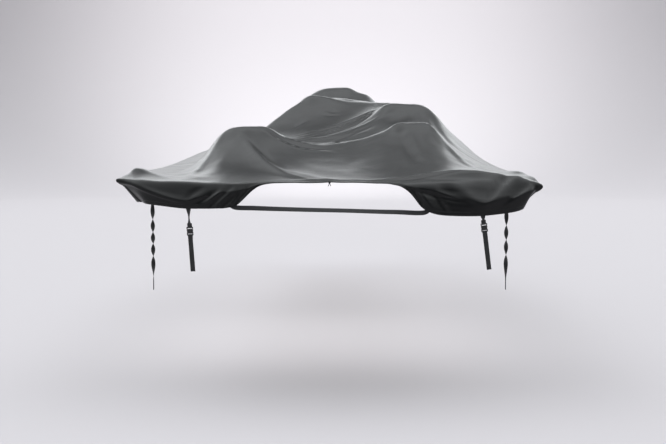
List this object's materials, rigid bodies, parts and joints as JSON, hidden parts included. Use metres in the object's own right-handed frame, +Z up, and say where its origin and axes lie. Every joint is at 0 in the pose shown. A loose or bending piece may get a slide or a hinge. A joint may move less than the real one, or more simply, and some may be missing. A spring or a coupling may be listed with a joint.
{
  "type": "boat cover",
  "caption": "Fitted black polyester cover for an open boat, draped over its seats and console, with buckled tie-down straps at the stern.",
  "frame": {"origin": "on the underside of the cloth at the cover's highest point on the centre line, where the boat's windscreen carries it", "axes": "+X to starboard, +Y along the cover towards the bow, +Z up"},
  "size_m": [2.268, 5.4663, 1.2638],
  "materials": {
    "cover_polyester": "satin",
    "webbing": "matte",
    "buckle_plastic": "satin",
    "hem_cord": "matte"
  },
  "bodies": {
    "root": {"cover_cloth": "cover_polyester", "strap_transom": "webbing", "tab_port": "webbing", "tab_starboard": "webbing", "buckle_port": "buckle_plastic", "buckle_starboard": "buckle_plastic", "strap_rear_port": "webbing", "strap_rear_starboard": "webbing", "strap_side_port": "webbing", "strap_side_starboard": "webbing", "hem_knot": "hem_cord"}
  },
  "joints": []
}
